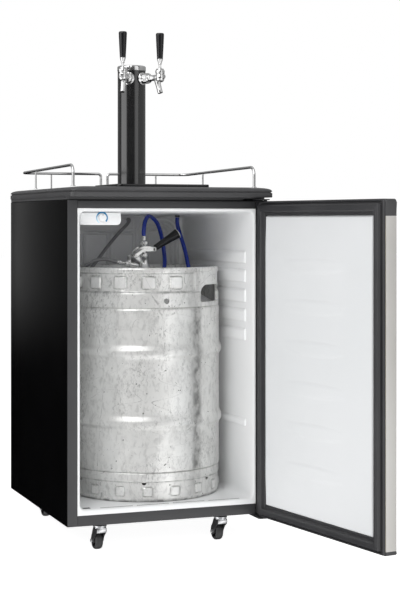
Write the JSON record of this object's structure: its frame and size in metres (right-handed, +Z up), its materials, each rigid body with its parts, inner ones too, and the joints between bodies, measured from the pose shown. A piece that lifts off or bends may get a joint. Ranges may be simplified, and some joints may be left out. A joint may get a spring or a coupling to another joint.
{
  "type": "kegerator",
  "caption": "Freestanding refrigerated keg cabinet on casters with an open front door, a keg with its coupler and lines, a guard-railed worktop and a draught tower with lever taps.",
  "frame": {"origin": "on the floor, at the middle of the footprint of the whole object with the door open as stored", "axes": "+Z up, the cabinet's front faces -Y, +X to the right when facing the front"},
  "size_m": [0.6252, 1.1404, 1.321],
  "materials": {
    "black_paint": "gloss",
    "black_plastic": "satin",
    "grey_frame": "satin",
    "white_plastic": "satin",
    "foam": "matte",
    "stainless": "brushed",
    "keg_steel": "scuffed",
    "chrome": "polished",
    "zinc": "plated",
    "evaporator": "satin",
    "rubber": "matte",
    "beer_hose": "gloss",
    "gas_hose": "satin"
  },
  "bodies": {
    "cabinet": {"outer_shell": "black_paint", "front_top_rail": "grey_frame", "front_bottom_rail": "grey_frame", "back_panel": "grey_frame", "base_pan": "grey_frame", "inner_liner": "white_plastic", "insulation_foam": "foam", "worktop": "black_plastic", "guard_rail_left": "chrome", "guard_rail_right": "chrome", "evaporator_plate": "evaporator", "thermostat_housing": "white_plastic", "compressor": "black_paint", "condenser_coil": "black_paint", "power_cord_gland": "black_plastic", "hinge_bracket_top": "grey_frame", "hinge_bracket_bottom": "grey_frame", "tower_column": "black_paint", "tower_flange": "black_paint", "tower_cap": "chrome", "line_splitter": "black_plastic", "beer_riser_left": "beer_hose", "beer_riser_right": "beer_hose", "beer_line": "beer_hose", "gas_line": "gas_hose", "gas_bulkhead": "zinc", "keg_body": "keg_steel", "keg_valve": "stainless", "coupler_body": "chrome", "shank_left": "chrome", "faucet_body_left": "chrome", "shank_right": "chrome", "faucet_body_right": "chrome"},
    "door": {"door_skin": "stainless", "door_foam": "foam", "door_liner": "white_plastic", "door_gasket": "rubber", "door_top_cap": "black_plastic", "door_bottom_cap": "black_plastic"},
    "tap_left": {"tap_lever_left": "chrome", "tap_handle_left": "black_plastic"},
    "tap_right": {"tap_lever_right": "chrome", "tap_handle_right": "black_plastic"},
    "thermostat_knob": {"thermostat_knob": "white_plastic"},
    "coupler_lever": {"coupler_handle": "chrome", "coupler_grip": "black_plastic"},
    "coupler_probe": {"coupler_probe": "chrome"},
    "relief_valve": {"relief_valve": "chrome"},
    "drip_tray": {"drip_tray": "black_plastic"},
    "drip_grate": {"drip_grate": "black_plastic"},
    "caster_front_left": {"caster_fork_front_left": "zinc"},
    "wheel_front_left": {"caster_wheel_front_left": "rubber"},
    "caster_front_right": {"caster_fork_front_right": "zinc"},
    "wheel_front_right": {"caster_wheel_front_right": "rubber"},
    "caster_rear_left": {"caster_fork_rear_left": "zinc"},
    "wheel_rear_left": {"caster_wheel_rear_left": "rubber"},
    "caster_rear_right": {"caster_fork_rear_right": "zinc"},
    "wheel_rear_right": {"caster_wheel_rear_right": "rubber"}
  },
  "joints": [
    {"name": "door_hinge", "type": "hinge", "parent": "cabinet", "child": "door", "pos_m": [0.21044, -0.05606, 0.468], "axis": [0, 0, 1], "range_deg": [-99.1, 31]},
    {"name": "tap_lever_left", "type": "hinge", "parent": "cabinet", "child": "tap_left", "pos_m": [-0.0955, 0.18383, 1.223], "axis": [0.848, -0.5299, 0], "range_deg": [0, 38]},
    {"name": "tap_lever_right", "type": "hinge", "parent": "cabinet", "child": "tap_right", "pos_m": [0.00837, 0.18383, 1.223], "axis": [0.848, 0.5299, 0], "range_deg": [0, 38]},
    {"name": "thermostat_turn", "type": "hinge", "parent": "cabinet", "child": "thermostat_knob", "pos_m": [-0.20496, 0.01594, 0.829], "axis": [0, -1, 0], "range_deg": [-135, 135]},
    {"name": "coupler_lever", "type": "hinge", "parent": "cabinet", "child": "coupler_lever", "pos_m": [-0.05856, 0.20294, 0.728], "axis": [0, 1, 0], "range_deg": [0, 35]},
    {"name": "probe_slide", "type": "slide", "parent": "cabinet", "child": "coupler_probe", "axis": [0, 0, 1], "range_m": [-0.0161, 0]},
    {"name": "relief_pull", "type": "slide", "parent": "cabinet", "child": "relief_valve", "axis": [0, 0, 1], "range_m": [0, 0.004], "stiffness_N_per_m": 300},
    {"name": "tray_lift", "type": "slide", "parent": "cabinet", "child": "drip_tray", "axis": [0, 0, 1], "range_m": [0, 0.08]},
    {"name": "grate_lift", "type": "slide", "parent": "drip_tray", "child": "drip_grate", "axis": [0, 0, 1], "range_m": [0, 0.06]},
    {"name": "swivel_front_left", "type": "hinge", "parent": "cabinet", "child": "caster_front_left", "pos_m": [-0.21756, -0.00706, 0.058], "axis": [0, 0, 1], "continuous": true},
    {"name": "roll_front_left", "type": "hinge", "parent": "caster_front_left", "child": "wheel_front_left", "pos_m": [-0.21756, 0.01694, 0.0225], "axis": [1, 0, 0], "continuous": true},
    {"name": "swivel_front_right", "type": "hinge", "parent": "cabinet", "child": "caster_front_right", "pos_m": [0.10544, -0.00706, 0.058], "axis": [0, 0, 1], "continuous": true},
    {"name": "roll_front_right", "type": "hinge", "parent": "caster_front_right", "child": "wheel_front_right", "pos_m": [0.10544, 0.01694, 0.0225], "axis": [1, 0, 0], "continuous": true},
    {"name": "swivel_rear_left", "type": "hinge", "parent": "cabinet", "child": "caster_rear_left", "pos_m": [-0.22856, 0.44394, 0.058], "axis": [0, 0, 1], "continuous": true},
    {"name": "roll_rear_left", "type": "hinge", "parent": "caster_rear_left", "child": "wheel_rear_left", "pos_m": [-0.22856, 0.46794, 0.0225], "axis": [1, 0, 0], "continuous": true},
    {"name": "swivel_rear_right", "type": "hinge", "parent": "cabinet", "child": "caster_rear_right", "pos_m": [0.14144, 0.44394, 0.058], "axis": [0, 0, 1], "continuous": true},
    {"name": "roll_rear_right", "type": "hinge", "parent": "caster_rear_right", "child": "wheel_rear_right", "pos_m": [0.14144, 0.46794, 0.0225], "axis": [1, 0, 0], "continuous": true}
  ],
  "couplings": [
    {"joint": "probe_slide", "follows": "coupler_lever", "m_per_rad": -0.026192}
  ]
}
